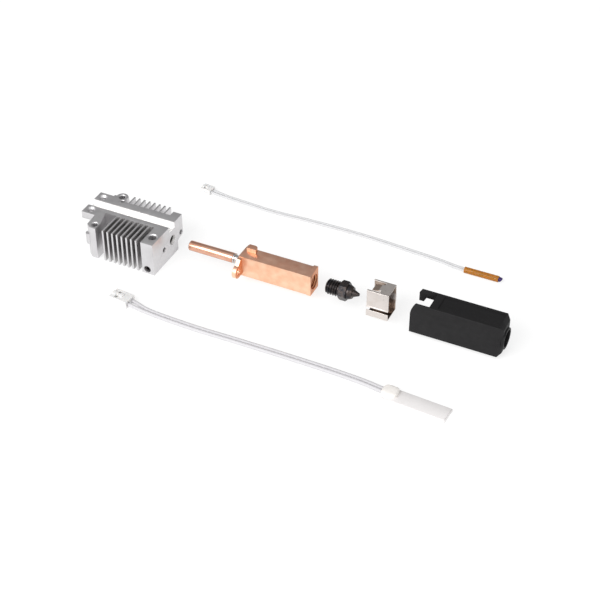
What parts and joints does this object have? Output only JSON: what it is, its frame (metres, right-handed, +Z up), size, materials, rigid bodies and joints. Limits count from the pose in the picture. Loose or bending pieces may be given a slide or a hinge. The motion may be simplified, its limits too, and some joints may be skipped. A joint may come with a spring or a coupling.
{
  "type": "hotend assembly",
  "caption": "Desktop 3-D printer hotend laid out in line: finned heatsink, throat tube and block, nozzle, clip, sock, plate heater and sensor.",
  "frame": {"origin": "on the surface that the pieces lie on, at the middle of the layout without its leads' connectors", "axes": "+X along the filament path from the heatsink to the sock, +Z up, so that +Y points from the plate heater to the sensor"},
  "size_m": [0.1728, 0.089, 0.0146],
  "materials": {
    "anodised_aluminium": "bead blasted, clear anodised",
    "bright_steel": "turned, bright",
    "copper": "drawn copper, bright",
    "plated_copper": "milled copper alloy, satin",
    "blackened_steel": "hardened and blackened",
    "spring_steel": "rolled, satin",
    "silicone": "moulded silicone, matt",
    "ceramic": "fired alumina",
    "trace_metal": "printed and fired metal",
    "cement": "cast ceramic cement, matt",
    "connector_nylon": "moulded natural nylon",
    "contact_metal": "tinned sheet",
    "lead_sleeving": "glass-fibre braid, coated",
    "sensor_lead_sleeving": "smooth fluoropolymer",
    "amber_film": "polyimide tube, glossy",
    "glass_bead": "dark glass bead"
  },
  "bodies": {
    "heatsink": {"heatsink": "anodised_aluminium", "grub_screw": "bright_steel"},
    "block": {"throat_tube": "copper", "heat_break": "bright_steel", "heater_block": "plated_copper"},
    "nozzle": {"nozzle": "blackened_steel"},
    "clip": {"spring_clip": "spring_steel"},
    "sock": {"silicone_sock": "silicone"},
    "heater": {"heater_plate": "ceramic", "heater_cover": "ceramic", "heater_trace": "trace_metal", "heater_pins": "trace_metal", "heater_cement": "cement", "heater_connector": "connector_nylon", "heater_contacts": "contact_metal", "heater_lead_a": "lead_sleeving", "heater_lead_b": "lead_sleeving"},
    "sensor": {"sensor_sleeve": "amber_film", "sensor_bead": "glass_bead", "sensor_splices": "contact_metal", "sensor_legs": "trace_metal", "sensor_connector": "connector_nylon", "sensor_contacts": "contact_metal", "sensor_lead_a": "sensor_lead_sleeving", "sensor_lead_b": "sensor_lead_sleeving"}
  },
  "joints": [
    {"name": "block_slide", "type": "slide", "parent": "heatsink", "child": "block", "axis": [-1, 0, 0], "range_m": [0, 0.0269]},
    {"name": "sock_slide", "type": "slide", "parent": "block", "child": "sock", "axis": [-1, 0, 0], "range_m": [0, 0.0687]},
    {"name": "nozzle_slide", "type": "slide", "parent": "block", "child": "nozzle", "axis": [-1, 0, 0], "range_m": [0, 0.0108]},
    {"name": "clip_slide", "type": "slide", "parent": "block", "child": "clip", "axis": [-1, 0, 0], "range_m": [0, 0.0417]},
    {"name": "heater_slide", "type": "slide", "parent": "heatsink", "child": "heater", "axis": [0, 1, 0], "range_m": [0, 0.015]},
    {"name": "sensor_slide", "type": "slide", "parent": "heatsink", "child": "sensor", "axis": [0, -1, 0], "range_m": [0, 0.015]}
  ],
  "couplings": [
    {"joint": "nozzle_slide", "follows": "sock_slide", "ratio": 0.157},
    {"joint": "clip_slide", "follows": "sock_slide", "ratio": 0.606}
  ]
}
